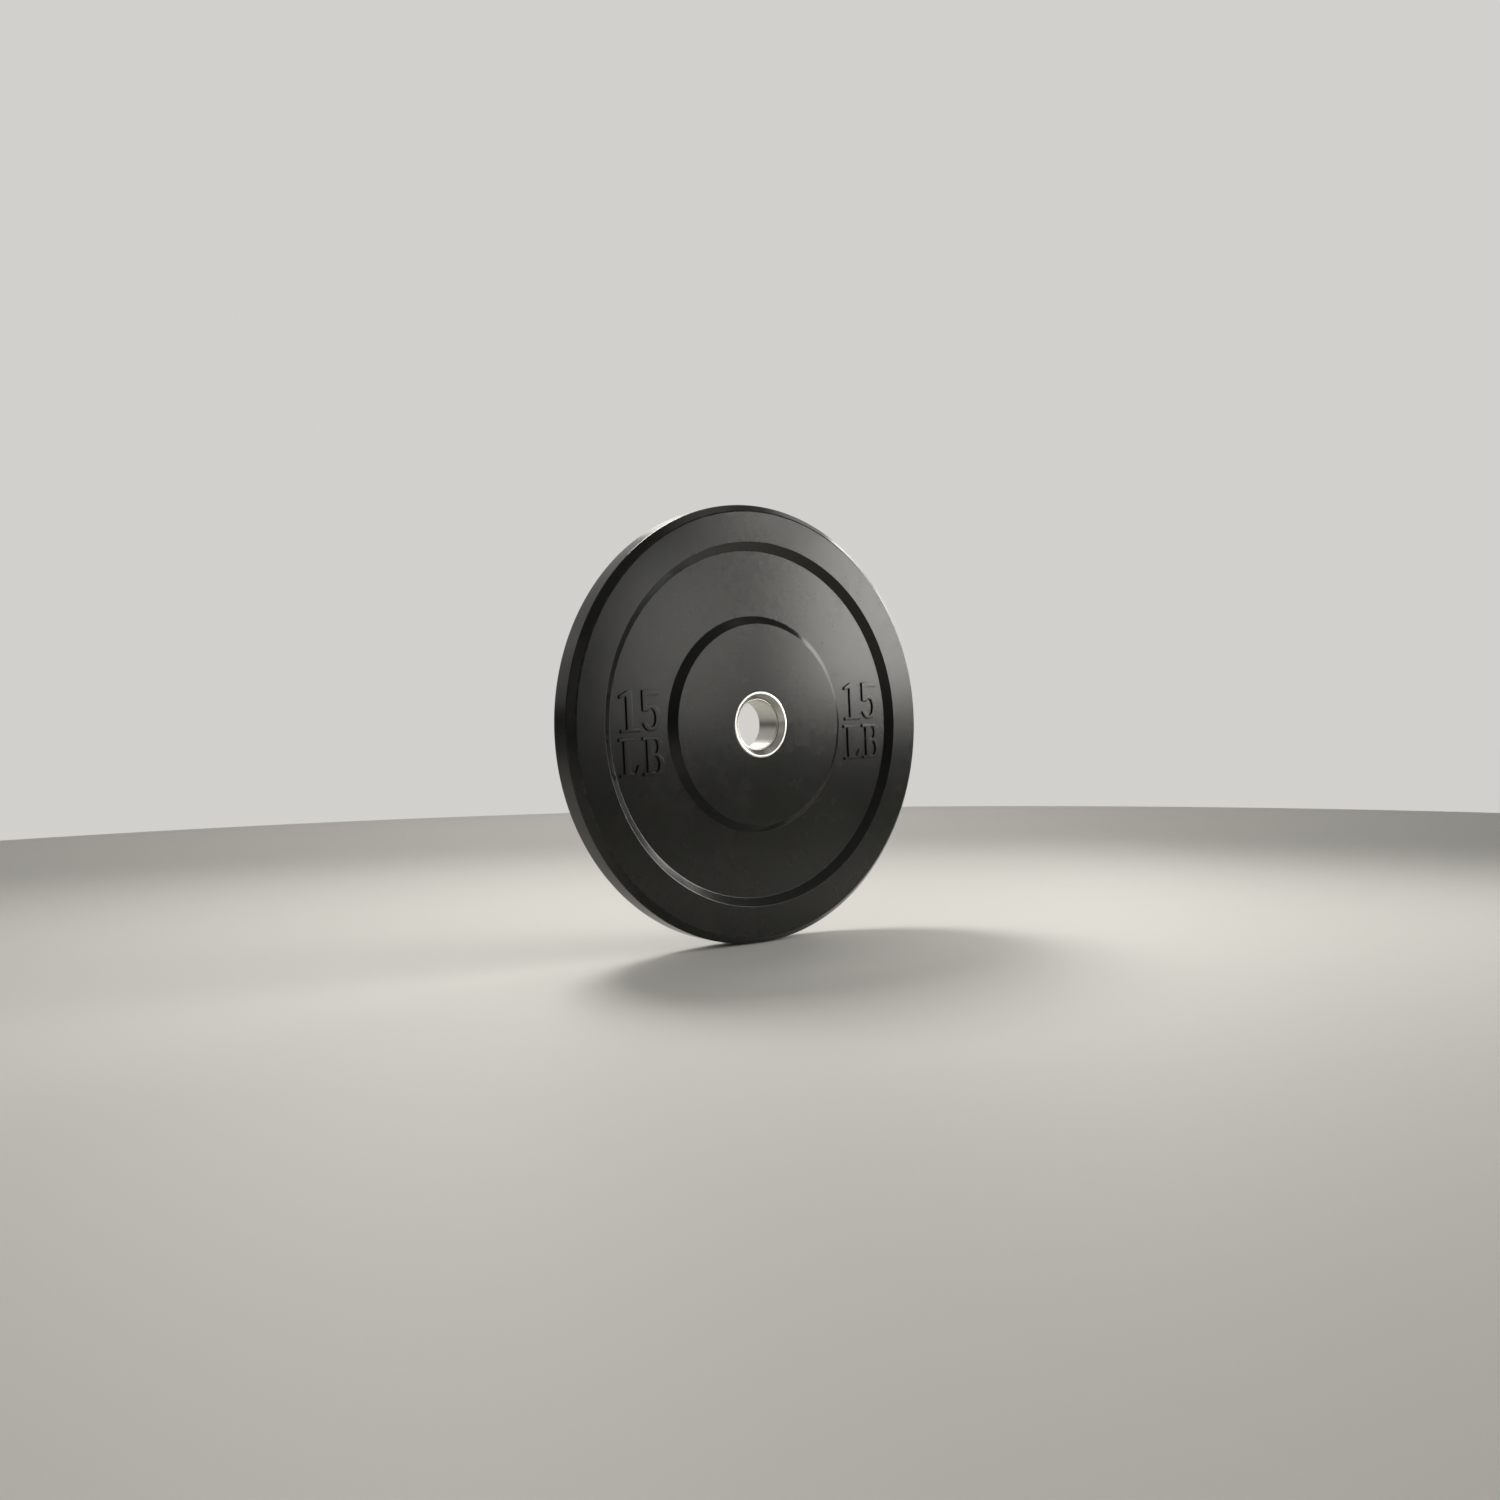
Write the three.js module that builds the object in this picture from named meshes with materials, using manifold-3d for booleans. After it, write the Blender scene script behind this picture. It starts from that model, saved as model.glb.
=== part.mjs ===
// A rubber bumper plate for a 50 mm bar sleeve: a moulded rubber disc round a steel hub.
// Millimetres, +Z up. The plate stands on its tread with its axis along Y, its shown face looks
// towards -Y, and the origin is the middle of the bore.

import * as THREE from "three";
import { mergeVertices } from "three/addons/utils/BufferGeometryUtils.js";
import Module from "manifold-3d";

// Overall sizes
const plateDiameter = 450;
const plateThickness = 36;
const boreDiameter = 50.6;

// Face of the rubber disc, from the tread inwards
const bevelSize = 7;
const rimFaceWidth = 31.5;
const recessWallWidth = 8.3;
const recessDepth = 6.4;
const hubWallWidth = 7.6;
const hubTopDiameter = 207;
const edgeFillet = 1.6;
const treadFillet = 2.4;

// Steel hub with a flared mouth in the shown face, a straight back end, and a lip round each
const mouthDepth = 5.3;
const mouthFlare = 4.3;
const lipWidth = 3;
const lipFillet = 1.3;
const collarHeight = 4.5;
const collarWidth = 4;

// Liner tube inside the steel hub
const linerWall = 1.6;
const linerSetBack = 0.5;
const linerFillet = 0.7;

// Drilled anchor plate, buried in the rubber
const anchorDiameter = 140;
const anchorThickness = 4;
const anchorHoleEdge = 6.35;
const anchorHoleCount = 8;

// Clearance between neighbouring pieces, and how far a rubber column runs into the disc
const clearance = 0.3;
const columnOverrun = 1;

// Facets
const discSegments = 96;
const hubSegments = 64;
const holeSegments = 24;
const filletSteps = 2;

// Sizes that follow from the ones above
const plateRadius = plateDiameter / 2;
const faceAxial = plateThickness / 2;
const treadAxial = faceAxial - bevelSize;
const webAxial = faceAxial - recessDepth;
const rimOuterRadius = plateRadius - bevelSize;
const rimInnerRadius = rimOuterRadius - rimFaceWidth;
const webOuterRadius = rimInnerRadius - recessWallWidth;
const hubTopRadius = hubTopDiameter / 2;
const webInnerRadius = hubTopRadius + hubWallWidth;
const boreRadius = boreDiameter / 2;
const linerOuterRadius = boreRadius + linerWall;
const mouthAxial = faceAxial - mouthDepth;
const linerFrontAxial = mouthAxial - linerSetBack;
const hubBoreRadius = linerOuterRadius + clearance;
const mouthRadius = hubBoreRadius + mouthFlare;
const steelHubRadius = mouthRadius + lipWidth;
const collarRadius = steelHubRadius + collarHeight;
const anchorAxial = anchorThickness / 2;
const collarFront = anchorAxial + clearance;
const collarBack = collarFront + collarWidth;
const anchorRadius = anchorDiameter / 2;
const anchorHoleNearest = collarRadius + clearance + anchorHoleEdge;
const anchorHoleFurthest = anchorRadius - anchorHoleEdge;
const anchorHoleRadius = (anchorHoleFurthest - anchorHoleNearest) / 2;
const anchorHoleReach = (anchorHoleFurthest + anchorHoleNearest) / 2;

const rubber = new THREE.MeshStandardMaterial({ color: 0x1c1c1b, roughness: 0.5, metalness: 0 });
const polishedSteel = new THREE.MeshStandardMaterial({ color: 0xc9c8c2, roughness: 0.2, metalness: 1 });
const brushedSteel = new THREE.MeshStandardMaterial({ color: 0xb4b2aa, roughness: 0.35, metalness: 1 });
const plainSteel = new THREE.MeshStandardMaterial({ color: 0x6f6e6a, roughness: 0.55, metalness: 1 });

const wasm = await Module();
wasm.setup();

// Outlines: a corner is a place on the turned outline, with the radius of the fillet it gets.

function corner(radius, axial, fillet = 0) {
  return { place: new THREE.Vector2(radius, axial), fillet };
}

// The arc that rounds one corner, or the corner itself where it stays sharp.
function cornerPoints(before, tip, after) {
  if (!tip.fillet) return [tip.place];
  const toBefore = before.place.clone().sub(tip.place).normalize();
  const toAfter = after.place.clone().sub(tip.place).normalize();
  const halfAngle = toBefore.angleTo(toAfter) / 2;
  const inward = toBefore.clone().add(toAfter).normalize();
  const centre = tip.place.clone().addScaledVector(inward, tip.fillet / Math.sin(halfAngle));
  const tangentLength = tip.fillet / Math.tan(halfAngle);
  const start = tip.place.clone().addScaledVector(toBefore, tangentLength);
  const turnsLeft = toBefore.cross(toAfter) < 0;
  const sweep = (Math.PI - 2 * halfAngle) * (turnsLeft ? 1 : -1);
  return Array.from({ length: filletSteps + 1 }, (_, step) =>
    start.clone().rotateAround(centre, (sweep * step) / filletSteps),
  );
}

// A closed outline turned about the Y axis.
function turned(corners, segments) {
  const outline = corners.flatMap((tip, index) =>
    cornerPoints(corners.at(index - 1), tip, corners[(index + 1) % corners.length]),
  );
  outline.push(outline[0]);
  return new THREE.LatheGeometry(outline, segments);
}

// The same corners for the other face, in the order that carries the outline on.
function otherFace(corners) {
  return corners.map(({ place, fillet }) => corner(place.x, -place.y, fillet)).reverse();
}

// Joins: a closed geometry as a solid, and back.

function toSolid(geometry) {
  const bare = geometry.clone();
  bare.deleteAttribute("normal");
  bare.deleteAttribute("uv");
  const merged = mergeVertices(bare);
  return new wasm.Manifold(
    new wasm.Mesh({
      numProp: 3,
      vertProperties: merged.attributes.position.array,
      triVerts: new Uint32Array(merged.index.array),
    }),
  );
}

function toGeometry(solid) {
  const mesh = solid.getMesh();
  const geometry = new THREE.BufferGeometry();
  geometry.setAttribute("position", new THREE.BufferAttribute(mesh.vertProperties, mesh.numProp));
  geometry.setIndex(new THREE.BufferAttribute(mesh.triVerts, 1));
  geometry.computeVertexNormals();
  return geometry;
}

// Where the anchor plate's holes stand, as places on the plate's own face.
function anchorHolePlaces() {
  return Array.from({ length: anchorHoleCount }, (_, index) => {
    const angle = (index / anchorHoleCount) * 2 * Math.PI;
    return new THREE.Vector2(Math.cos(angle), Math.sin(angle)).multiplyScalar(anchorHoleReach);
  });
}

// Rubber disc: bevelled rims, sunken webs and raised hubs on both faces, with the pocket for the
// anchor plate and the collar inside, bridged by a rubber column through each of the plate's holes.
function rubberDisc() {
  const seatRadius = steelHubRadius + clearance;
  const pocketRadius = anchorRadius + clearance;
  const pocketAxial = anchorAxial + clearance;
  const collarPocketRadius = collarRadius + clearance;
  const frontFace = [
    corner(seatRadius, -faceAxial),
    corner(hubTopRadius, -faceAxial, edgeFillet),
    corner(webInnerRadius, -webAxial, edgeFillet),
    corner(webOuterRadius, -webAxial, edgeFillet),
    corner(rimInnerRadius, -faceAxial, edgeFillet),
    corner(rimOuterRadius, -faceAxial, treadFillet),
    corner(plateRadius, -treadAxial, treadFillet),
  ];
  const pocket = [
    corner(seatRadius, collarBack + clearance),
    corner(collarPocketRadius, collarBack + clearance),
    corner(collarPocketRadius, pocketAxial),
    corner(pocketRadius, pocketAxial),
    corner(pocketRadius, -pocketAxial),
    corner(seatRadius, -pocketAxial),
  ];
  const body = toSolid(turned([...frontFace, ...otherFace(frontFace), ...pocket], discSegments));

  const columnLength = 2 * (pocketAxial + columnOverrun);
  const columnRadius = anchorHoleRadius - clearance;
  const columns = anchorHolePlaces().map((place) => {
    const column = new THREE.CylinderGeometry(columnRadius, columnRadius, columnLength, holeSegments);
    return toSolid(column.translate(place.x, 0, place.y));
  });
  return toGeometry(columns.reduce((whole, column) => whole.add(column), body));
}

// Steel hub: a thick ring with a conical mouth in the shown face, a lip rounded outside at each end,
// and a collar outside that the anchor plate rests against.
function steelHub() {
  const mouth = [
    corner(hubBoreRadius, -mouthAxial),
    corner(mouthRadius, -faceAxial, lipFillet),
    corner(steelHubRadius, -faceAxial, lipFillet),
  ];
  const collar = [
    corner(steelHubRadius, collarFront),
    corner(collarRadius, collarFront),
    corner(collarRadius, collarBack),
    corner(steelHubRadius, collarBack),
  ];
  const backEnd = [corner(steelHubRadius, faceAxial, lipFillet), corner(hubBoreRadius, faceAxial)];
  return turned([...mouth, ...collar, ...backEnd], hubSegments);
}

// Bore liner: a thin tube in the steel hub that stops a little short of the flared mouth and is
// flush with the back face.
function boreLiner() {
  const frontEnd = [
    corner(boreRadius, -linerFrontAxial, linerFillet),
    corner(linerOuterRadius, -linerFrontAxial, linerFillet),
  ];
  const backEnd = [corner(linerOuterRadius, faceAxial), corner(boreRadius, faceAxial, linerFillet)];
  return turned([...frontEnd, ...backEnd], hubSegments);
}

// A circle drawn with a given number of sides.
function circlePoints(x, y, radius, sides) {
  return new THREE.Path().absarc(x, y, radius, 0, 2 * Math.PI).getSpacedPoints(sides).slice(0, sides);
}

// Anchor plate: a flat steel ring with holes for the rubber columns.
function anchorPlate() {
  const outline = new THREE.Shape(circlePoints(0, 0, anchorRadius, hubSegments));
  outline.holes.push(new THREE.Path(circlePoints(0, 0, steelHubRadius + clearance, hubSegments)));
  for (const place of anchorHolePlaces()) {
    outline.holes.push(new THREE.Path(circlePoints(place.x, place.y, anchorHoleRadius, holeSegments)));
  }
  const plate = new THREE.ExtrudeGeometry(outline, { depth: anchorThickness, bevelEnabled: false });
  return plate.translate(0, 0, -anchorAxial).rotateX(Math.PI / 2);
}

function piece(name, geometry, material) {
  const mesh = new THREE.Mesh(geometry, material);
  mesh.name = name;
  return mesh;
}

const group = new THREE.Group();
group.add(piece("rubber_disc", rubberDisc(), rubber));
group.add(piece("steel_hub", steelHub(), polishedSteel));
group.add(piece("bore_liner", boreLiner(), brushedSteel));
group.add(piece("anchor_plate", anchorPlate(), plainSteel));

export default group;
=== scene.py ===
import math

import bmesh
import bpy
from bpy.props import FloatProperty, FloatVectorProperty, IntProperty, PointerProperty
from mathutils import Matrix, Quaternion, Vector


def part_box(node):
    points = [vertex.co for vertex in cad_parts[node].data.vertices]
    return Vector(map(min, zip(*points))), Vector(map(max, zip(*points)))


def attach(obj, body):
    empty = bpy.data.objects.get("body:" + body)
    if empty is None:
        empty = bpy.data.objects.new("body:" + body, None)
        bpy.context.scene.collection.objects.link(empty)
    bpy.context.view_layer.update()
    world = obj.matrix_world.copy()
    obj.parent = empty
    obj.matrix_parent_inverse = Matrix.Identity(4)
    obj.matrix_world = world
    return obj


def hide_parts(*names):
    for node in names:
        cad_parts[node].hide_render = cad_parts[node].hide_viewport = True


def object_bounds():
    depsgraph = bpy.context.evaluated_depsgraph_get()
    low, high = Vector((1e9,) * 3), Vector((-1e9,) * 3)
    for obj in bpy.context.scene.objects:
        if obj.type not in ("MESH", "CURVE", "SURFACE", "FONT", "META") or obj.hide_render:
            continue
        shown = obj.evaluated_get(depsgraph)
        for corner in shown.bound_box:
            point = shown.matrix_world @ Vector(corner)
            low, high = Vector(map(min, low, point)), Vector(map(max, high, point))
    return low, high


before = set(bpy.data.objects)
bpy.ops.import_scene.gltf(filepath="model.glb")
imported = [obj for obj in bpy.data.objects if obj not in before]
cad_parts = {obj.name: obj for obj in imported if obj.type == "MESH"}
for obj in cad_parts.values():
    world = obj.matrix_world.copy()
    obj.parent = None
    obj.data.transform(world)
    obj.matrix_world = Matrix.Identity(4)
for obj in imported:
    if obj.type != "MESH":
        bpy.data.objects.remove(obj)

bl_info = {
    "name": "Rubber bumper plate",
    "version": (1, 0, 0),
    "blender": (4, 5, 0),
    "location": "3D View > Sidebar > Bumper plate",
    "description": "Dresses the packed bumper plate in moulded rubber and turned steel",
    "category": "Object",
}

CAD_LOW, CAD_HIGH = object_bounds()
MM = 0.001
BODY = "root"

PLATE_RADIUS = CAD_HIGH.z
FACE_AXIAL = CAD_HIGH.y
HUB_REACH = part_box("steel_hub")[1]
LINER_LOW, LINER_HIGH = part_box("bore_liner")
ANCHOR_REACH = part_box("anchor_plate")[1]


# Properties: the sizes and colours that someone would change.

def length(name, default_mm, description):
    return FloatProperty(name=name, description=description, default=default_mm * MM, unit="LENGTH")


def share(name, default, description):
    return FloatProperty(name=name, description=description, default=default, subtype="FACTOR")


def colour(name, default, description):
    return FloatVectorProperty(
        name=name, description=description, default=default, subtype="COLOR", min=0, max=1
    )


def angle(name, degrees, description):
    return FloatProperty(
        name=name, description=description, default=math.radians(degrees), subtype="ANGLE"
    )


class PlateSizes(bpy.types.PropertyGroup):
    """Sizes of the turned pieces that the frame's boxes don't give."""

    bevel: length("Bevel", 7, "Height and depth of the bevel between the tread and the rim")
    rim_face: length("Rim face", 31.5, "Width of the flat rim face")
    recess_wall: length("Recess wall", 8.3, "Width of the slope from the rim down to the web")
    recess_depth: length("Recess depth", 6.4, "Depth of the web below the rim")
    hub_wall: length("Hub wall", 7.6, "Width of the slope from the web up to the hub")
    hub_top: length("Hub top", 207, "Diameter of the flat hub face")
    edge_fillet: length("Edge fillet", 1.6, "Radius of the edges on each face")
    tread_fillet: length("Tread fillet", 2.4, "Radius of the two edges of the bevel")
    lip_width: length("Lip width", 3, "Width of the steel lip round the bore")
    lip_fillet: length("Lip fillet", 1.3, "Radius of the steel lip's edges")
    mouth_depth: length("Mouth depth", 5.3, "Depth of the flared mouth")
    mouth_flare: length("Mouth flare", 4.3, "How far the mouth opens beyond the hub's bore")
    collar_height: length("Collar height", 4.5, "Height of the collar round the steel hub")
    collar_width: length("Collar width", 4, "Width of the collar round the steel hub")
    liner_wall: length("Liner wall", 1.6, "Wall of the tube in the bore")
    liner_fillet: length("Liner fillet", 0.7, "Radius of the tube's end edges")
    hole_edge: length("Hole edge", 6.35, "Steel left beside each of the anchor plate's holes")
    hole_count: IntProperty(name="Holes", description="Holes in the anchor plate", default=8)
    column_overrun: length("Column overrun", 1, "How far a rubber column runs into the disc")
    clearance: length("Clearance", 0.3, "Gap between neighbouring pieces")
    around: IntProperty(name="Segments", description="Facets round a turned piece", default=360)
    fillet_steps: IntProperty(name="Fillet steps", description="Facets across a fillet", default=8)


class MarkingSizes(bpy.types.PropertyGroup):
    """Sizes of the raised weight marking."""

    block_reach: length("Block reach", 143, "From the bore's axis to the middle of a block")
    number_height: length("Number height", 40.5, "Height of the digits")
    number_foot: length("Number foot", -1, "Height of the digits' foot beside the bore's axis")
    unit_height: length("Unit height", 37.6, "Height of the unit's letters")
    unit_foot: length("Unit foot", -43.6, "Height of the letters' foot beside the bore's axis")
    letter_gap: length("Letter gap", 2.9, "Gap between two characters")
    raised: length("Raised", 1.7, "How far the characters stand out of the web")
    sunk: length("Sunk", 0.8, "How far the characters' solids run into the web")
    rounding: length("Rounding", 0.35, "Radius of the characters' edges")
    turn: angle("Turn", 1.9, "Turn of the marking about the bore's axis")


class RubberLook(bpy.types.PropertyGroup):
    """Colours and finish of the moulded rubber."""

    dark: colour("Dark", (0.0080, 0.0082, 0.0062), "Rubber in its darkest patches")
    light: colour("Light", (0.0125, 0.0127, 0.0100), "Rubber in its lightest patches")
    dusty: colour("Dusty", (0.026, 0.026, 0.022), "Rubber where fine dust clings to it")
    scuffed: colour("Scuffed", (0.045, 0.044, 0.041), "Rubber where handling has greyed it")
    roughness: share("Roughness", 0.16, "Roughness of clean rubber")
    reflection: share("Reflection", 0.32, "How strongly rubber reflects, where 0.5 is glass")
    grain: length("Grain size", 0.55, "Size of the moulded grain")
    grain_height: length("Grain height", 0.012, "Height of the moulded grain")


class SteelLook(bpy.types.PropertyGroup):
    """Colours and finish of the steel pieces."""

    polished: colour("Polished", (0.70, 0.69, 0.655), "Colour of the steel hub")
    brushed: colour("Brushed", (0.62, 0.61, 0.57), "Colour of the bore liner")
    plain: colour("Plain", (0.30, 0.29, 0.28), "Colour of the anchor plate")
    turning: length("Turning pitch", 0.25, "Spacing of the turning marks")


class StageLook(bpy.types.PropertyGroup):
    """Floor, backdrop, lamps and camera."""

    floor: colour("Floor", (0.72, 0.71, 0.68), "Colour of the floor")
    backdrop: colour("Backdrop", (0.80, 0.79, 0.76), "Colour of the backdrop")
    backdrop_level: share("Backdrop level", 0.8, "How pale the backdrop shows, where 1 is its full colour")
    lamp_tint: colour("Lamp tint", (1.0, 0.985, 0.93), "Colour of the lamps")
    ambient_low: share("Low ambient", 0.07, "Strength of the light from the horizon")
    ambient_high: share("High ambient", 0.28, "Strength of the light from overhead")
    view_distance: length("View distance", 1391.8, "Level distance from the plate to the camera")
    view_height: length("View height", -7, "Height of the camera above the bore's axis")
    view_from: angle("View from", 37.59, "Where the camera stands, left of straight ahead")
    view_towards: angle("View towards", 37.55, "Where the camera looks, right of straight ahead")
    view_down: angle("View down", 0.79, "How far the camera looks down")
    view_roll: angle("View roll", 1.05, "How far the camera leans to its right")
    focal: FloatProperty(name="Focal length", description="In sensor millimetres", default=32.22)


LOOKS = {
    "plate_sizes": PlateSizes,
    "marking_sizes": MarkingSizes,
    "rubber_look": RubberLook,
    "steel_look": SteelLook,
    "stage_look": StageLook,
}


# Shader maths

class Value:
    """A socket that Python's operators can work with: each operator adds its Math node."""

    def __init__(self, shader, socket):
        self.shader = shader
        self.socket = socket

    def maths(self, operation, *others, swap=False):
        terms = [*others, self] if swap else [self, *others]
        sockets = dict(enumerate(terms))
        return self.shader.node("ShaderNodeMath", {"operation": operation}, sockets).value()

    def __add__(self, other):
        return self.maths("ADD", other)

    def __sub__(self, other):
        return self.maths("SUBTRACT", other)

    def __rsub__(self, other):
        return self.maths("SUBTRACT", other, swap=True)

    def __mul__(self, other):
        return self.maths("MULTIPLY", other)

    __radd__ = __add__
    __rmul__ = __mul__

    def root(self):
        return self.maths("SQRT")

    def size(self):
        return self.maths("ABSOLUTE")

    def most(self, other):
        return self.maths("MAXIMUM", other)


class Node:
    """A new shader node, whose outputs are read by name or place."""

    def __init__(self, shader, made):
        self.shader = shader
        self.made = made

    def value(self, name=0):
        return Value(self.shader, self.made.outputs[name])


class Shader:
    """The nodes of one material, or of the world's light, in the making."""

    def __init__(self, owner):
        owner.use_nodes = True
        self.owner = owner
        self.tree = owner.node_tree
        self.tree.nodes.clear()

    def node(self, kind, settings=None, sockets=None):
        made = self.tree.nodes.new(kind)
        for name, setting in (settings or {}).items():
            setattr(made, name, setting)
        for name, given in (sockets or {}).items():
            if isinstance(given, Value):
                self.tree.links.new(given.socket, made.inputs[name])
            else:
                made.inputs[name].default_value = given
        return Node(self, made)

    def place(self):
        """Where a point lies in the frame, in metres."""
        return self.node("ShaderNodeTexCoord").value("Object")

    def parts(self, vector):
        split = self.node("ShaderNodeSeparateXYZ", sockets={0: vector})
        return split.value("X"), split.value("Y"), split.value("Z")

    def join(self, x, y, z):
        return self.node("ShaderNodeCombineXYZ", sockets={"X": x, "Y": y, "Z": z}).value()

    def noise(self, vector, size, detail, rough=0.5):
        """Soft noise from 0 to 1, in lumps of a size in metres."""
        sockets = {"Vector": vector, "Scale": 1 / size, "Detail": detail, "Roughness": rough}
        return self.node("ShaderNodeTexNoise", sockets=sockets).value("Fac")

    def ramp(self, value, low, high, to_low=0.0, to_high=1.0):
        """A smooth step from one number to another as the value goes from low to high."""
        settings = {"interpolation_type": "SMOOTHSTEP"}
        sockets = {"Value": value, 1: low, 2: high, 3: to_low, 4: to_high}
        return self.node("ShaderNodeMapRange", settings, sockets).value()

    def mix(self, factor, first, second):
        """One colour into another."""
        sockets = {"Factor": factor, 6: first, 7: second}
        return self.node("ShaderNodeMix", {"data_type": "RGBA"}, sockets).value(2)

    def bump(self, height, distance, normal=None):
        """Relief of a height in metres, over an earlier relief where one is given."""
        sockets = {"Height": height, "Distance": distance, "Strength": 1.0}
        if normal:
            sockets["Normal"] = normal
        return self.node("ShaderNodeBump", sockets=sockets).value()

    def finish(self, sockets):
        """Ends the material in one surface shader."""
        surface = self.node("ShaderNodeBsdfPrincipled", sockets=sockets).value()
        self.node("ShaderNodeOutputMaterial", sockets={"Surface": surface})
        return self.owner


def new_material(name):
    return Shader(bpy.data.materials.new(name))


def opaque(rgb):
    return (*rgb, 1.0)


def darker(rgb, brightness_share):
    return opaque(tuple(brightness_share * part for part in rgb))


# Places on a turned piece

WORN_REACH = 2.2 * MM


def turned_places(shader):
    """A point's place, its distance from the bore's axis, and its place along that axis."""
    place = shader.place()
    x, y, z = shader.parts(place)
    return place, (x * x + z * z).root(), y


def near_edge(shader, radius, axial, edge_radius, edge_axial):
    """1 on a turned edge, falling to 0 where wear ends."""
    away_radius = radius - edge_radius
    away_axial = axial - edge_axial
    away = (away_radius * away_radius + away_axial * away_axial).root()
    return shader.ramp(away, 0.0, WORN_REACH, to_low=1.0, to_high=0.0)


def turning_marks(shader, radius, along, pitch):
    """Fine rings round the axis, as a lathe leaves them."""
    return shader.noise(shader.join(radius, along, 0.0), pitch, detail=4.0, rough=0.7)


# Rubber material

CLOUD_SIZE = 60 * MM
DUST_PATCH_SIZE = 50 * MM
DUST_FLECK_SIZE = 12 * MM
SCUFF_SIZE = 9 * MM
SWELL_SIZE = 35 * MM
SWELL_HEIGHT = 0.02 * MM
DUST_SHARE = 0.3
WORN_SHARE = 0.5
CLOUD_ROUGHNESS = 0.04
DUST_ROUGHNESS = 0.04
FLECK_ROUGHNESS = 0.015
WORN_ROUGHNESS = 0.1


def rubber_material(look, sizes):
    """Satin moulded rubber: cloudy tone, handling smudges, fine grain and greyed outer edges."""
    shader = new_material("moulded_rubber")
    place, radius, along = turned_places(shader)
    axial = along.size()

    clouds = shader.noise(place, CLOUD_SIZE, detail=4.0, rough=0.6)
    patch_noise = shader.noise(place, DUST_PATCH_SIZE, detail=3.0, rough=0.6)
    patches = shader.ramp(patch_noise, low=0.35, high=0.75)
    fleck_noise = shader.noise(place, DUST_FLECK_SIZE, detail=4.0, rough=0.6)
    flecks = shader.ramp(fleck_noise, low=0.3, high=0.85)
    dust = patches * flecks
    grain = shader.noise(place, look.grain, detail=3.0, rough=0.6)
    swell = shader.noise(place, SWELL_SIZE, detail=1.0)

    rim_radius = PLATE_RADIUS - sizes.bevel
    tread_axial = FACE_AXIAL - sizes.bevel
    rim_edge = near_edge(shader, radius, axial, rim_radius, FACE_AXIAL)
    tread_edge = near_edge(shader, radius, axial, PLATE_RADIUS, tread_axial)
    scuff_noise = shader.noise(place, SCUFF_SIZE, detail=6.0, rough=0.7)
    scuffs = shader.ramp(scuff_noise, low=0.42, high=0.66)
    worn = rim_edge.most(tread_edge) * scuffs * WORN_SHARE

    tone = shader.mix(clouds, opaque(look.dark), opaque(look.light))
    tone = shader.mix(dust * DUST_SHARE, tone, opaque(look.dusty))
    tone = shader.mix(worn, tone, opaque(look.scuffed))
    roughness = (
        look.roughness
        + clouds * CLOUD_ROUGHNESS
        + dust * DUST_ROUGHNESS
        + flecks * FLECK_ROUGHNESS
        + worn * WORN_ROUGHNESS
    )

    normal = shader.bump(swell, SWELL_HEIGHT)
    normal = shader.bump(grain, look.grain_height, normal=normal)
    return shader.finish({
        "Base Color": tone,
        "Roughness": roughness,
        "Normal": normal,
        "Specular IOR Level": look.reflection,
    })


# Steel materials

FINGERMARK_SIZE = 7 * MM
FINGERMARK_SHARE = 0.25
FINGERMARK_ROUGHNESS = 0.08
RING_SHARE = 0.15
RING_HEIGHT = 0.003 * MM
RING_ROUGHNESS = 0.08
POLISHED_ROUGHNESS = 0.24

STREAK_PITCH_SHARE = 1.6
STREAK_SHARE = 0.4
STREAK_HEIGHT = 0.006 * MM
STREAK_ROUGHNESS = 0.1
TUBE_PATCH_SIZE = 6 * MM
TUBE_PATCH_SHARE = 0.2
TUBE_PATCH_ROUGHNESS = 0.08
BRUSHED_ROUGHNESS = 0.22

MILL_SCALE_SIZE = 12 * MM
MILL_SCALE_SHARE = 0.45
MILL_SCALE_ROUGHNESS = 0.25
PIT_SIZE = 1.2 * MM
PIT_HEIGHT = 0.03 * MM
PLAIN_ROUGHNESS = 0.45


def polished_material(look):
    """Polished turned steel with faint rings and fingermarks."""
    shader = new_material("polished_turned_steel")
    place, radius, along = turned_places(shader)
    rings = turning_marks(shader, radius, along, look.turning)
    mark_noise = shader.noise(place, FINGERMARK_SIZE, detail=5.0, rough=0.6)
    marks = shader.ramp(mark_noise, low=0.45, high=0.75)
    dulled = marks * FINGERMARK_SHARE + rings * RING_SHARE
    return shader.finish({
        "Base Color": shader.mix(dulled, opaque(look.polished), opaque(look.brushed)),
        "Metallic": 1.0,
        "Roughness": POLISHED_ROUGHNESS + rings * RING_ROUGHNESS + marks * FINGERMARK_ROUGHNESS,
        "Normal": shader.bump(rings, RING_HEIGHT),
    })


def brushed_material(look):
    """Steel tube brushed round its bore, with streaks that run round it."""
    shader = new_material("brushed_tube_steel")
    place, radius, along = turned_places(shader)
    streaks = turning_marks(shader, radius, along, look.turning * STREAK_PITCH_SHARE)
    patches = shader.noise(place, TUBE_PATCH_SIZE, detail=4.0)
    dulled = streaks * STREAK_SHARE + patches * TUBE_PATCH_SHARE
    return shader.finish({
        "Base Color": shader.mix(dulled, opaque(look.brushed), opaque(look.plain)),
        "Metallic": 1.0,
        "Roughness": BRUSHED_ROUGHNESS + streaks * STREAK_ROUGHNESS + patches * TUBE_PATCH_ROUGHNESS,
        "Normal": shader.bump(streaks, STREAK_HEIGHT),
    })


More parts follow.
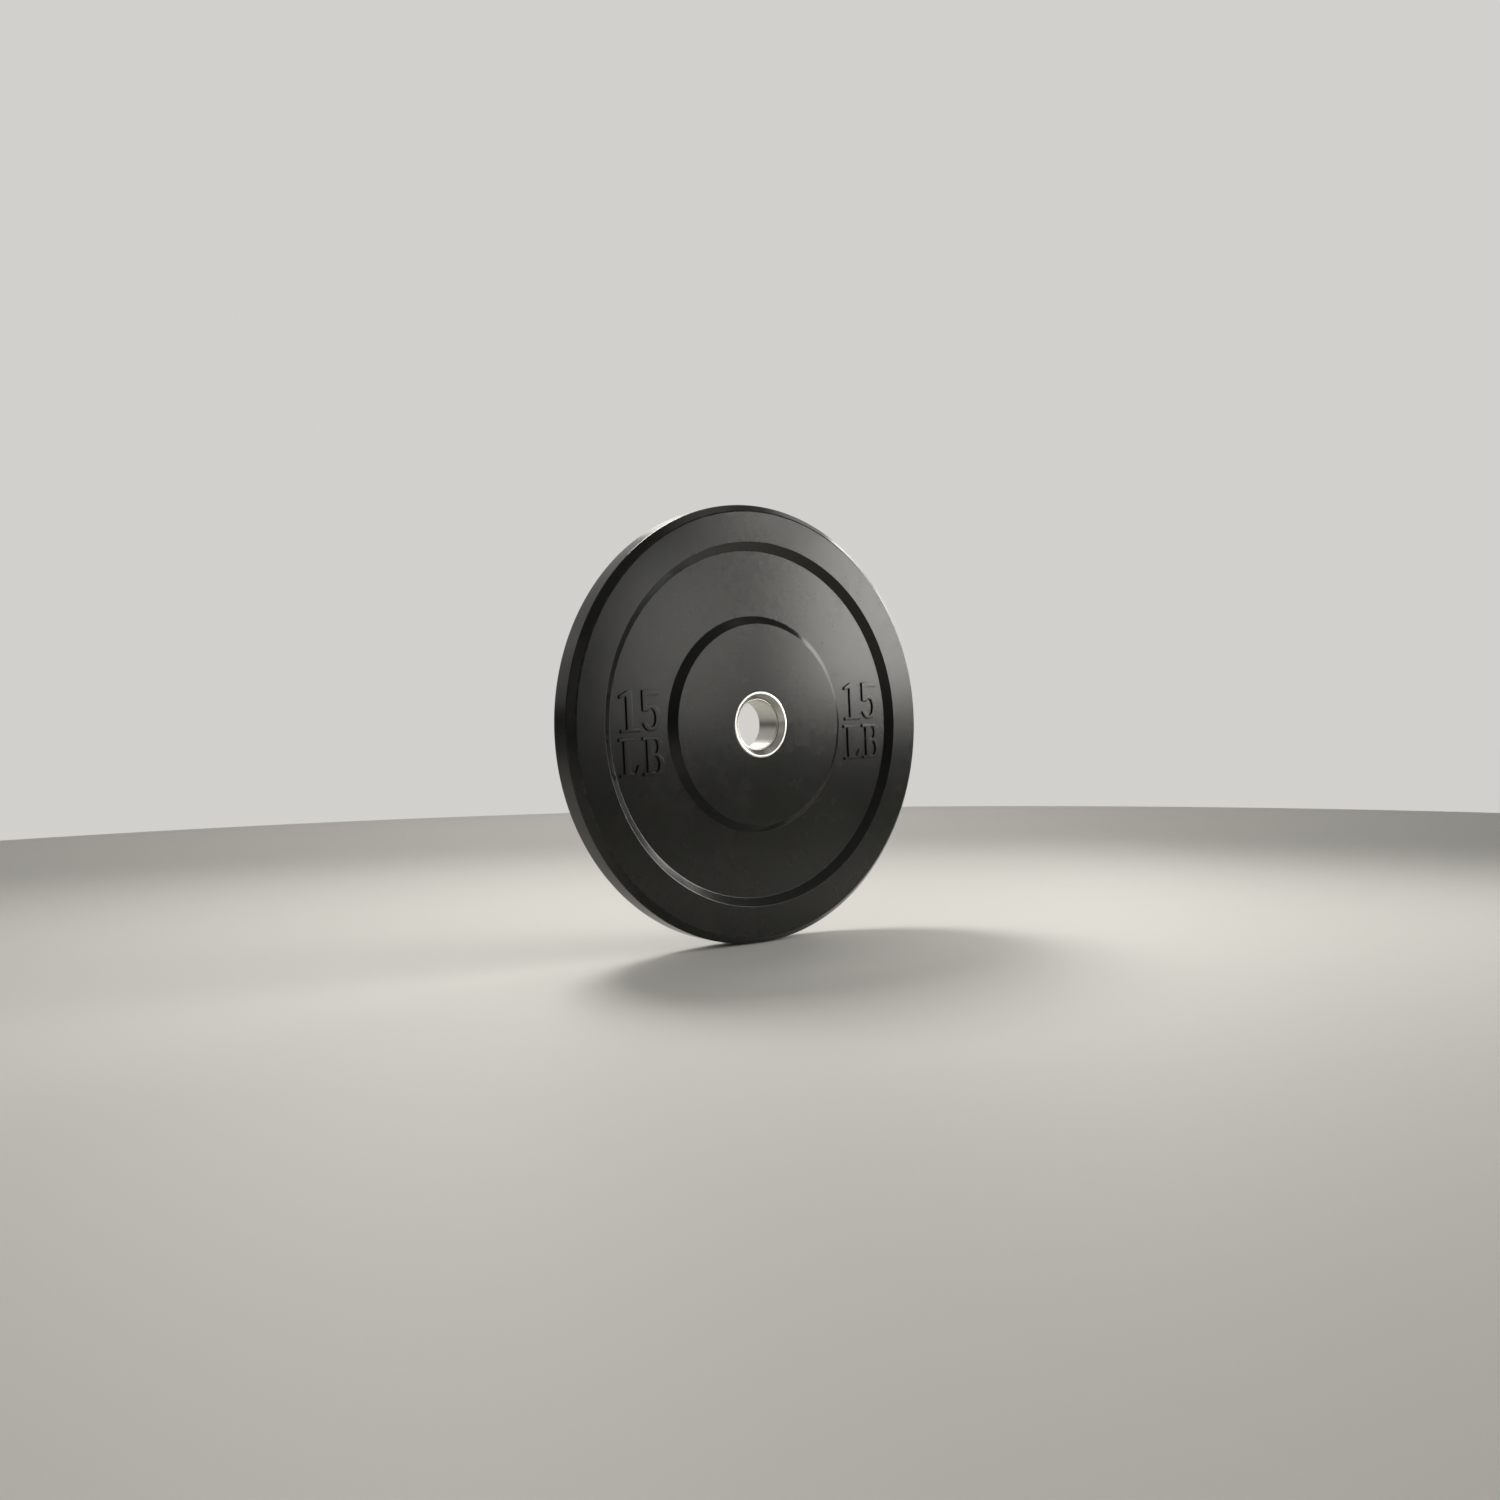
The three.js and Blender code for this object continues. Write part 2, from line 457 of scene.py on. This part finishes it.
def plain_material(look):
    """Dull rolled plate with mill scale, as it lies in the rubber."""
    shader = new_material("rolled_plate_steel")
    place = shader.place()
    scale = shader.noise(place, MILL_SCALE_SIZE, detail=6.0, rough=0.65)
    pits = shader.noise(place, PIT_SIZE, detail=3.0)
    return shader.finish({
        "Base Color": shader.mix(scale, opaque(look.plain), darker(look.plain, MILL_SCALE_SHARE)),
        "Metallic": 1.0,
        "Roughness": PLAIN_ROUGHNESS + scale * MILL_SCALE_ROUGHNESS,
        "Normal": shader.bump(pits, PIT_HEIGHT),
    })


# Stage materials

ROLL_SIZE = 400 * MM
ROLL_SHARE = 0.08
ROLL_SHADE_SHARE = 0.85
PAINT_ROUGHNESS = 0.6


def floor_material(look):
    """Plain matt paint with a barely uneven roll."""
    shader = new_material("floor_paint")
    roll = shader.noise(shader.place(), ROLL_SIZE, detail=3.0)
    paint = shader.mix(roll * ROLL_SHARE, opaque(look.floor), darker(look.floor, ROLL_SHADE_SHARE))
    return shader.finish({"Base Color": paint, "Roughness": PAINT_ROUGHNESS})


def backdrop_material(look):
    """Matt cloth that shows evenly pale, straight on and in gloss, and lights nothing."""
    shader = new_material("backdrop_cloth")
    cloth = shader.node("ShaderNodeBsdfDiffuse", sockets={"Color": opaque(look.backdrop)}).value()
    glow = {"Color": opaque(look.backdrop), "Strength": look.backdrop_level}
    pale = shader.node("ShaderNodeEmission", sockets=glow).value()
    rays = shader.node("ShaderNodeLightPath")
    seen = rays.value("Is Camera Ray") + rays.value("Is Glossy Ray") + rays.value("Is Transmission Ray")
    surface = shader.node("ShaderNodeMixShader", sockets={"Fac": seen, 1: cloth, 2: pale}).value()
    shader.node("ShaderNodeOutputMaterial", sockets={"Surface": surface})
    return shader.owner


# Turned meshes: a corner is a place on a closed outline, with the radius of its fillet.

SHARP_ANGLE = math.radians(35)
FLAT_FACE_WEIGHT = 100


def corner(radius, axial, fillet=0.0):
    return Vector((radius, axial)), fillet


def corner_points(before, tip, after, steps):
    """The arc that rounds one corner, or the corner itself where it stays sharp."""
    place, fillet = tip
    if not fillet:
        return [place]
    to_before = (before[0] - place).normalized()
    to_after = (after[0] - place).normalized()
    half_angle = to_before.angle(to_after) / 2
    inward = (to_before + to_after).normalized()
    centre = place + inward * (fillet / math.sin(half_angle))
    start = place + to_before * (fillet / math.tan(half_angle)) - centre
    end = place + to_after * (fillet / math.tan(half_angle)) - centre
    sweep = start.angle_signed(end)
    turns = [Matrix.Rotation(-sweep * step / steps, 2) for step in range(steps + 1)]
    return [centre + turn @ start for turn in turns]


def other_face(corners):
    """The same corners for the other face, in the order that carries the outline on."""
    return [corner(place.x, -place.y, fillet) for place, fillet in reversed(corners)]


def turned(name, corners, sizes):
    """A closed outline turned about the Y axis, as a smooth mesh."""
    outline = []
    for index, tip in enumerate(corners):
        after = corners[(index + 1) % len(corners)]
        outline += corner_points(corners[index - 1], tip, after, sizes.fillet_steps)
    shape = bmesh.new()
    rings = []
    for index in range(sizes.around):
        turn = 2 * math.pi * index / sizes.around
        ring = [
            shape.verts.new((point.x * math.cos(turn), point.y, point.x * math.sin(turn)))
            for point in outline
        ]
        rings.append(ring)
    for index, ring in enumerate(rings):
        following = rings[(index + 1) % sizes.around]
        for at in range(len(outline)):
            onward = (at + 1) % len(outline)
            shape.faces.new((ring[at], ring[onward], following[onward], following[at]))
    bmesh.ops.recalc_face_normals(shape, faces=shape.faces)
    return shown_object(name, shape)


def shown_object(name, shape):
    """Turns a bmesh into an object of the scene."""
    mesh = bpy.data.meshes.new(name)
    shape.to_mesh(mesh)
    shape.free()
    thing = bpy.data.objects.new(name, mesh)
    bpy.context.scene.collection.objects.link(thing)
    return thing


def smooth(thing):
    """Smooth shading that keeps flats flat and real corners sharp."""
    mesh = thing.data
    for face in mesh.polygons:
        face.use_smooth = True
    mesh.set_sharp_from_angle(angle=SHARP_ANGLE)
    weights = thing.modifiers.new("flat_faces_stay_flat", "WEIGHTED_NORMAL")
    weights.mode = "FACE_AREA"
    weights.weight = FLAT_FACE_WEIGHT
    weights.keep_sharp = True


def seat(thing, material, node):
    """Gives a piece its material and its body, and hides the CAD node that it stands for."""
    thing.data.materials.clear()
    thing.data.materials.append(material)
    smooth(thing)
    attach(thing, BODY)
    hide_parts(node)


# Rubber disc

COLUMN_FACETS = 48
SLIVER = 0.001 * MM
QUAD_SIDES = 4


def disc_corners(sizes):
    """The outline of the rubber disc, with the pocket that holds the anchor plate and the collar."""
    rim_outer = PLATE_RADIUS - sizes.bevel
    rim_inner = rim_outer - sizes.rim_face
    web_outer = rim_inner - sizes.recess_wall
    hub_top = sizes.hub_top / 2
    web_inner = hub_top + sizes.hub_wall
    web_axial = FACE_AXIAL - sizes.recess_depth
    steel_radius = HUB_REACH.x - sizes.collar_height
    seat_radius = steel_radius + sizes.clearance
    pocket_axial = ANCHOR_REACH.y + sizes.clearance
    pocket_radius = ANCHOR_REACH.x + sizes.clearance
    collar_radius = HUB_REACH.x + sizes.clearance
    collar_back = pocket_axial + sizes.collar_width + sizes.clearance
    front = [
        corner(seat_radius, -FACE_AXIAL),
        corner(hub_top, -FACE_AXIAL, sizes.edge_fillet),
        corner(web_inner, -web_axial, sizes.edge_fillet),
        corner(web_outer, -web_axial, sizes.edge_fillet),
        corner(rim_inner, -FACE_AXIAL, sizes.edge_fillet),
        corner(rim_outer, -FACE_AXIAL, sizes.tread_fillet),
        corner(PLATE_RADIUS, sizes.bevel - FACE_AXIAL, sizes.tread_fillet),
    ]
    pocket = [
        corner(seat_radius, collar_back),
        corner(collar_radius, collar_back),
        corner(collar_radius, pocket_axial),
        corner(pocket_radius, pocket_axial),
        corner(pocket_radius, -pocket_axial),
        corner(seat_radius, -pocket_axial),
    ]
    return [*front, *other_face(front), *pocket]


def column_shape(sizes):
    """The rubber columns that fill the anchor plate's holes, as one bmesh of closed solids."""
    nearest = HUB_REACH.x + sizes.clearance + sizes.hole_edge
    furthest = ANCHOR_REACH.x - sizes.hole_edge
    column_radius = (furthest - nearest) / 2 - sizes.clearance
    column_length = 2 * (ANCHOR_REACH.y + sizes.clearance + sizes.column_overrun)
    reach = (furthest + nearest) / 2
    joined = bmesh.new()
    for index in range(sizes.hole_count):
        turn = Matrix.Rotation(2 * math.pi * index / sizes.hole_count, 4, "Y")
        along = Matrix.Rotation(math.pi / 2, 4, "X")
        half_facet = Matrix.Rotation(math.pi / COLUMN_FACETS, 4, "Z")
        spot = turn @ Matrix.Translation((reach, 0, 0)) @ along @ half_facet
        bmesh.ops.create_cone(
            joined,
            cap_ends=True,
            segments=COLUMN_FACETS,
            radius1=column_radius,
            radius2=column_radius,
            depth=column_length,
            matrix=spot,
        )
    return joined


# Weight marking: outlines in shares of the character's height, from its lower left corner.

ARC_STEPS = 14
EDGE_STEPS = 2
MERGE_REACH = 0.01 * MM
STEM_SHARE = 0.17
THIN_SHARE = 0.085
LEG_SHARE = THIN_SHARE * 1.2


def bowl(across_share, foot_share, head_share, reach_share, start, end):
    """Points on an ellipse between two heights, from one angle in degrees to another."""
    middle_share = (foot_share + head_share) / 2
    half_share = (head_share - foot_share) / 2
    point_shares = []
    for step in range(ARC_STEPS + 1):
        turn = math.radians(start + (end - start) * step / ARC_STEPS)
        point_across_share = across_share + reach_share * math.cos(turn)
        point_up_share = middle_share + half_share * math.sin(turn)
        point_shares.append((point_across_share, point_up_share))
    return point_shares


def figure_one():
    """A stem on a flat foot, with a flag at its head."""
    width_share = 0.54
    left_share = (width_share - STEM_SHARE) / 2
    right_share = left_share + STEM_SHARE
    peak_share = left_share + 0.04
    outline_shares = [
        (0, 0), (width_share, 0), (width_share, THIN_SHARE), (right_share, THIN_SHARE),
        (right_share, 1), (peak_share, 1), (0, 0.89), (0, 0.81), (left_share, 0.86),
        (left_share, THIN_SHARE), (0, THIN_SHARE),
    ]
    return width_share, [outline_shares]


def figure_five():
    """A flag over a short stem and an open bowl."""
    width_share = 0.53
    middle_share = width_share / 2
    bowl_head_share = 0.66
    side_share = STEM_SHARE * 0.8
    outer_shares = bowl(middle_share, 0, bowl_head_share, middle_share, 125, -160)
    inner_head_share = bowl_head_share - LEG_SHARE
    inner_reach_share = middle_share - side_share
    inner_shares = bowl(middle_share, LEG_SHARE, inner_head_share, inner_reach_share, -150, 140)
    flag_shares = [(0.03, 0.5), (0.03, 1), (0.49, 1), (0.49, 0.87), (0.15, 0.87), (0.15, 0.635)]
    return width_share, [[*flag_shares, *outer_shares[1:], *inner_shares]]


def letter_l():
    """A stem with slab serifs, and a leg that ends in a raised wedge."""
    width_share = 0.64
    left_share = 0.14
    right_share = left_share + STEM_SHARE
    serif_share = right_share + 0.12
    under_head_share = 1 - THIN_SHARE
    outline_shares = [
        (0, 0), (0.56, 0), (width_share, 0.3), (0.57, 0.3), (0.47, LEG_SHARE),
        (right_share, LEG_SHARE), (right_share, under_head_share), (serif_share, under_head_share),
        (serif_share, 1), (0, 1), (0, under_head_share), (left_share, under_head_share),
        (left_share, THIN_SHARE), (0, THIN_SHARE),
    ]
    return width_share, [outline_shares]


def letter_b():
    """A stem with slab serifs and two bowls."""
    width_share = 0.65
    left_share = 0.12
    right_share = left_share + STEM_SHARE
    waist_share = 0.53
    over_waist_share = waist_share + THIN_SHARE / 2
    under_waist_share = waist_share - THIN_SHARE / 2
    under_head_share = 1 - THIN_SHARE
    upper_reach_share = 0.23
    lower_reach_share = 0.27
    upper_hole_share = 0.08
    lower_hole_share = 0.11
    bowl_share = width_share - lower_reach_share
    upper_shares = bowl(bowl_share, waist_share, 1, upper_reach_share, -60, 90)
    lower_shares = bowl(bowl_share, 0, waist_share, lower_reach_share, -90, 60)
    outline_shares = [
        (0, 0), *lower_shares, *upper_shares, (0, 1), (0, under_head_share),
        (left_share, under_head_share), (left_share, THIN_SHARE), (0, THIN_SHARE),
    ]
    upper_counter_shares = [
        (right_share, under_head_share), (right_share, over_waist_share),
        *bowl(bowl_share, over_waist_share, under_head_share, upper_hole_share, -90, 90),
    ]
    lower_counter_shares = [
        (right_share, under_waist_share), (right_share, THIN_SHARE),
        *bowl(bowl_share, THIN_SHARE, under_waist_share, lower_hole_share, -90, 90),
    ]
    return width_share, [outline_shares, upper_counter_shares, lower_counter_shares]


def character_curve(outlines, height, sizes):
    """One character as a filled flat curve with rounded edges, its foot at the origin."""
    curve = bpy.data.curves.new("character", "CURVE")
    curve.dimensions = "2D"
    curve.fill_mode = "BOTH"
    curve.bevel_depth = sizes.rounding
    curve.bevel_resolution = EDGE_STEPS
    curve.offset = -sizes.rounding
    curve.extrude = (sizes.raised + sizes.sunk) / 2 - sizes.rounding
    for outline in outlines:
        spline = curve.splines.new("POLY")
        spline.points.add(len(outline) - 1)
        for point, (across, up) in zip(spline.points, outline):
            point.co = (across * height, up * height, 0, 1)
        spline.use_cyclic_u = True
    return curve


def character_shape(outlines, height, place, sizes):
    """One character's closed mesh, placed on the web."""
    curve = character_curve(outlines, height, sizes)
    holder = bpy.data.objects.new("character", curve)
    bpy.context.scene.collection.objects.link(holder)
    evaluated = holder.evaluated_get(bpy.context.evaluated_depsgraph_get())
    mesh = bpy.data.meshes.new_from_object(evaluated)
    bpy.data.objects.remove(holder)
    mesh.transform(place)
    shape = bmesh.new()
    shape.from_mesh(mesh)
    bpy.data.meshes.remove(mesh)
    bmesh.ops.remove_doubles(shape, verts=shape.verts, dist=MERGE_REACH)
    return shape


def marking_rows(sizes):
    """Each row of the marking: its characters, their height, and the height of their foot."""
    return [
        ([figure_one(), figure_five()], sizes.number_height, sizes.number_foot),
        ([letter_l(), letter_b()], sizes.unit_height, sizes.unit_foot),
    ]


def marking_shape(sizes, plate):
    """All four blocks of the marking, two on each face, as one bmesh of closed solids."""
    joined = bmesh.new()
    middle = (sizes.raised - sizes.sunk) / 2
    web_axial = FACE_AXIAL - plate.recess_depth
    stand_up = Matrix.Rotation(math.radians(90), 4, "X")
    tilt = Matrix.Rotation(-sizes.turn, 4, "Y")
    for face_turn in (0, math.pi):
        onto_face = Matrix.Rotation(face_turn, 4, "Z") @ tilt
        for side in (-1, 1):
            for characters, height, foot in marking_rows(sizes):
                widths = [width * height for width, _ in characters]
                total = sum(widths) + sizes.letter_gap * (len(widths) - 1)
                across = side * sizes.block_reach - total / 2
                for width, (_, outlines) in zip(widths, characters):
                    spot = Matrix.Translation((across, -web_axial - middle, foot))
                    shape = character_shape(outlines, height, onto_face @ spot @ stand_up, sizes)
                    part = bpy.data.meshes.new("character")
                    shape.to_mesh(part)
                    shape.free()
                    joined.from_mesh(part)
                    bpy.data.meshes.remove(part)
                    across += width + sizes.letter_gap
    bmesh.ops.recalc_face_normals(joined, faces=joined.faces)
    return joined


def fuse(thing, tool):
    """Joins a second solid to a first, and removes it."""
    union = thing.modifiers.new("joined", "BOOLEAN")
    union.operation = "UNION"
    union.object = tool
    union.solver = "MANIFOLD"
    evaluated = thing.evaluated_get(bpy.context.evaluated_depsgraph_get())
    mesh = bpy.data.meshes.new_from_object(evaluated)
    thing.modifiers.clear()
    thing.data = mesh
    bpy.data.objects.remove(tool)
    drop_slivers(mesh)


def drop_slivers(mesh):
    """Dissolves the faces without area that a join can leave."""
    shape = bmesh.new()
    shape.from_mesh(mesh)
    many_sided = [face for face in shape.faces if len(face.verts) > QUAD_SIDES]
    bmesh.ops.triangulate(shape, faces=many_sided)
    bmesh.ops.dissolve_degenerate(shape, dist=SLIVER, edges=shape.edges)
    shape.to_mesh(mesh)
    shape.free()


# Steel pieces

def hub_corners(sizes):
    """The outline of the steel hub: mouth and lip in front, collar outside, straight back end."""
    outer = HUB_REACH.x - sizes.collar_height
    mouth = outer - sizes.lip_width
    bore = mouth - sizes.mouth_flare
    collar_front = ANCHOR_REACH.y + sizes.clearance
    collar_back = collar_front + sizes.collar_width
    mouth_end = [
        corner(bore, sizes.mouth_depth - FACE_AXIAL),
        corner(mouth, -FACE_AXIAL, sizes.lip_fillet),
        corner(outer, -FACE_AXIAL, sizes.lip_fillet),
    ]
    collar = [
        corner(outer, collar_front),
        corner(HUB_REACH.x, collar_front),
        corner(HUB_REACH.x, collar_back),
        corner(outer, collar_back),
    ]
    back_end = [corner(outer, FACE_AXIAL, sizes.lip_fillet), corner(bore, FACE_AXIAL)]
    return [*mouth_end, *collar, *back_end]


def liner_corners(sizes):
    """The outline of the tube in the bore."""
    outer = LINER_HIGH.x
    bore = outer - sizes.liner_wall
    return [
        corner(bore, LINER_LOW.y, sizes.liner_fillet),
        corner(outer, LINER_LOW.y, sizes.liner_fillet),
        corner(outer, LINER_HIGH.y),
        corner(bore, LINER_HIGH.y, sizes.liner_fillet),
    ]


# Stage

FLOOR_RADIUS = 9
FLOOR_FACETS = 96
WALL_RADIUS = 2.4
WALL_HEIGHT = 2.6
WALL_FACETS = 48
WALL_FIRST = math.radians(-27)
WALL_LAST = math.radians(92)
LAMP_DISTANCE = 2.2
LAMP_SPREAD = 60
FULL_SKY_SHARE = 0.8
VIEW_END = 50


def floor_object(look):
    """A wide round floor that the plate stands on."""
    shape = bmesh.new()
    bmesh.ops.create_circle(shape, cap_ends=True, segments=FLOOR_FACETS, radius=FLOOR_RADIUS)
    bmesh.ops.translate(shape, verts=shape.verts, vec=(0, 0, CAD_LOW.z))
    floor = shown_object("floor", shape)
    floor.data.materials.append(floor_material(look))


def backdrop_object(look):
    """A curved wall behind the plate, from the floor up."""
    shape = bmesh.new()
    previous = None
    for step in range(WALL_FACETS + 1):
        turn = WALL_FIRST + (WALL_LAST - WALL_FIRST) * step / WALL_FACETS
        foot = Vector((WALL_RADIUS * math.sin(turn), WALL_RADIUS * math.cos(turn), CAD_LOW.z))
        pair = [shape.verts.new(foot), shape.verts.new(foot + Vector((0, 0, WALL_HEIGHT)))]
        if previous:
            shape.faces.new((previous[0], pair[0], pair[1], previous[1]))
        previous = pair
    wall = shown_object("backdrop", shape)
    for face in wall.data.polygons:
        face.use_smooth = True
    wall.data.materials.append(backdrop_material(look))


def direction(azimuth, elevation):
    """A unit vector, its azimuth from straight ahead of the shown face towards +X, in degrees."""
    flat = math.cos(math.radians(elevation))
    return Vector((
        flat * math.sin(math.radians(azimuth)),
        -flat * math.cos(math.radians(azimuth)),
        math.sin(math.radians(elevation)),
    ))


def softbox(name, tint, azimuth, elevation, wide, tall, radiance, spread=LAMP_SPREAD, aim=(0, 0, 0)):
    """A rectangular lamp that fills some degrees of view, given by how bright it is head on."""
    half_spread = math.radians(spread) / 2
    beam_share = 1 - half_spread / math.tan(half_spread)
    lamp = bpy.data.lights.new(name, "AREA")
    lamp.shape = "RECTANGLE"
    lamp.size = 2 * LAMP_DISTANCE * math.tan(math.radians(wide) / 2)
    lamp.size_y = 2 * LAMP_DISTANCE * math.tan(math.radians(tall) / 2)
    lamp.spread = 2 * half_spread
    lamp.energy = radiance * math.pi * lamp.size * lamp.size_y * beam_share
    lamp.color = tint
    holder = bpy.data.objects.new(name, lamp)
    bpy.context.scene.collection.objects.link(holder)
    holder.location = direction(azimuth, elevation) * LAMP_DISTANCE
    towards = Vector(aim) - holder.location
    holder.rotation_mode = "QUATERNION"
    holder.rotation_quaternion = towards.to_track_quat("-Z", "Y")
    holder.visible_camera = False


LAMPS = {
    "key": dict(azimuth=45.5, elevation=8, wide=9, tall=13, radiance=14),
    "key_high": dict(azimuth=38, elevation=16, wide=4, tall=4, radiance=15),
    "fill": dict(azimuth=32, elevation=6, wide=8, tall=12, radiance=4.3),
    "side_low": dict(azimuth=60, elevation=9, wide=18, tall=10, radiance=17),
    "side_high": dict(azimuth=72, elevation=20, wide=22, tall=12, radiance=15),
    "rear_low": dict(azimuth=119, elevation=10, wide=10, tall=10, radiance=3),
    "rear_mid": dict(azimuth=112, elevation=22, wide=12, tall=14, radiance=5.5),
    "rear_high": dict(azimuth=107, elevation=41, wide=16, tall=18, radiance=0.4),
    "overhead": dict(azimuth=85, elevation=76, wide=24, tall=24, radiance=0.5),
    "tread": dict(azimuth=152, elevation=28, wide=16, tall=16, radiance=1.6),
    "bore_fill": dict(azimuth=213, elevation=19, wide=16, tall=26, radiance=0.6),
    "mouth_fill": dict(azimuth=-64, elevation=16, wide=14, tall=34, radiance=0.4),
    "pool_near": dict(
        azimuth=172, elevation=56, wide=18, tall=18, radiance=26, spread=84, aim=(-0.3, -0.5, -0.2)
    ),
    "pool_far": dict(
        azimuth=145, elevation=70, wide=24, tall=16, radiance=8, spread=110, aim=(0.9, 1.6, -0.2)
    ),
    "pool_back": dict(
        azimuth=138, elevation=60, wide=30, tall=12, radiance=6, spread=110, aim=(1.4, 1.9, -0.2)
    ),
}


def world_light(look):
    """Soft light from all round that grows from the horizon upwards."""
    shader = Shader(bpy.data.worlds.new("room"))
    towards = shader.node("ShaderNodeTexCoord").value("Generated")
    upwards = shader.parts(towards)[2]
    strength = shader.ramp(upwards, 0.0, FULL_SKY_SHARE, look.ambient_low, look.ambient_high)
    glow = {"Color": opaque(look.backdrop), "Strength": strength}
    background = shader.node("ShaderNodeBackground", sockets=glow).value()
    shader.node("ShaderNodeOutputWorld", sockets={"Surface": background})
    bpy.context.scene.world = shader.owner


def camera_object(look):
    """The camera at the photograph's place and angle."""
    lens = bpy.data.cameras.new("camera")
    lens.lens = look.focal
    lens.clip_end = VIEW_END
    camera = bpy.data.objects.new("camera", lens)
    bpy.context.scene.collection.objects.link(camera)
    camera.location = (
        -look.view_distance * math.sin(look.view_from),
        -look.view_distance * math.cos(look.view_from),
        look.view_height,
    )
    level = math.cos(look.view_down)
    towards = Vector((
        level * math.sin(look.view_towards),
        level * math.cos(look.view_towards),
        -math.sin(look.view_down),
    ))
    camera.rotation_mode = "QUATERNION"
    upright = towards.to_track_quat("-Z", "Y")
    camera.rotation_quaternion = upright @ Quaternion((0, 0, 1), -look.view_roll)
    bpy.context.scene.camera = camera


# Operators

class BUMPER_OT_moulded_disc(bpy.types.Operator):
    """Make the rubber disc with its raised weight marking"""

    bl_idname = "bumper.moulded_disc"
    bl_label = "Moulded disc"

    def execute(self, context):
        scene = context.scene
        disc = turned("moulded_disc", disc_corners(scene.plate_sizes), scene.plate_sizes)
        marking = shown_object("marking", marking_shape(scene.marking_sizes, scene.plate_sizes))
        fuse(disc, marking)
        fuse(disc, shown_object("columns", column_shape(scene.plate_sizes)))
        material = rubber_material(scene.rubber_look, scene.plate_sizes)
        seat(disc, material, "rubber_disc")
        return {"FINISHED"}


class BUMPER_OT_turned_hub(bpy.types.Operator):
    """Make the polished steel hub"""

    bl_idname = "bumper.turned_hub"
    bl_label = "Turned hub"

    def execute(self, context):
        scene = context.scene
        hub = turned("turned_hub", hub_corners(scene.plate_sizes), scene.plate_sizes)
        seat(hub, polished_material(scene.steel_look), "steel_hub")
        return {"FINISHED"}


class BUMPER_OT_bore_tube(bpy.types.Operator):
    """Make the brushed tube that lines the bore"""

    bl_idname = "bumper.bore_tube"
    bl_label = "Bore tube"

    def execute(self, context):
        scene = context.scene
        tube = turned("bore_tube", liner_corners(scene.plate_sizes), scene.plate_sizes)
        seat(tube, brushed_material(scene.steel_look), "bore_liner")
        return {"FINISHED"}


class BUMPER_OT_anchor_plate(bpy.types.Operator):
    """Give the buried anchor plate its rolled steel"""

    bl_idname = "bumper.anchor_plate"
    bl_label = "Anchor plate"

    def execute(self, context):
        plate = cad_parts["anchor_plate"]
        plate.data.materials.clear()
        plate.data.materials.append(plain_material(context.scene.steel_look))
        return {"FINISHED"}


class BUMPER_OT_stage(bpy.types.Operator):
    """Set the floor, the backdrop, the lamps and the camera"""

    bl_idname = "bumper.stage"
    bl_label = "Stage"

    def execute(self, context):
        look = context.scene.stage_look
        context.scene.view_settings.view_transform = "Standard"
        floor_object(look)
        backdrop_object(look)
        world_light(look)
        for name, values in LAMPS.items():
            softbox(name, look.lamp_tint, **values)
        camera_object(look)
        return {"FINISHED"}


class BUMPER_PT_panel(bpy.types.Panel):
    """The plate's operators, in the order that they run"""

    bl_idname = "BUMPER_PT_panel"
    bl_label = "Bumper plate"
    bl_space_type = "VIEW_3D"
    bl_region_type = "UI"
    bl_category = "Bumper plate"

    def draw(self, context):
        for operator in OPERATORS:
            self.layout.operator(operator.bl_idname)


OPERATORS = (
    BUMPER_OT_stage,
    BUMPER_OT_moulded_disc,
    BUMPER_OT_turned_hub,
    BUMPER_OT_bore_tube,
    BUMPER_OT_anchor_plate,
)


def register():
    for group in LOOKS.values():
        bpy.utils.register_class(group)
    for name, group in LOOKS.items():
        setattr(bpy.types.Scene, name, PointerProperty(type=group))
    for operator in (*OPERATORS, BUMPER_PT_panel):
        bpy.utils.register_class(operator)


def unregister():
    for operator in (BUMPER_PT_panel, *reversed(OPERATORS)):
        bpy.utils.unregister_class(operator)
    for name, group in reversed(LOOKS.items()):
        delattr(bpy.types.Scene, name)
        bpy.utils.unregister_class(group)


def main():
    register()
    bpy.ops.bumper.stage()
    bpy.ops.bumper.moulded_disc()
    bpy.ops.bumper.turned_hub()
    bpy.ops.bumper.bore_tube()
    bpy.ops.bumper.anchor_plate()


if __name__ == "__main__":
    main()
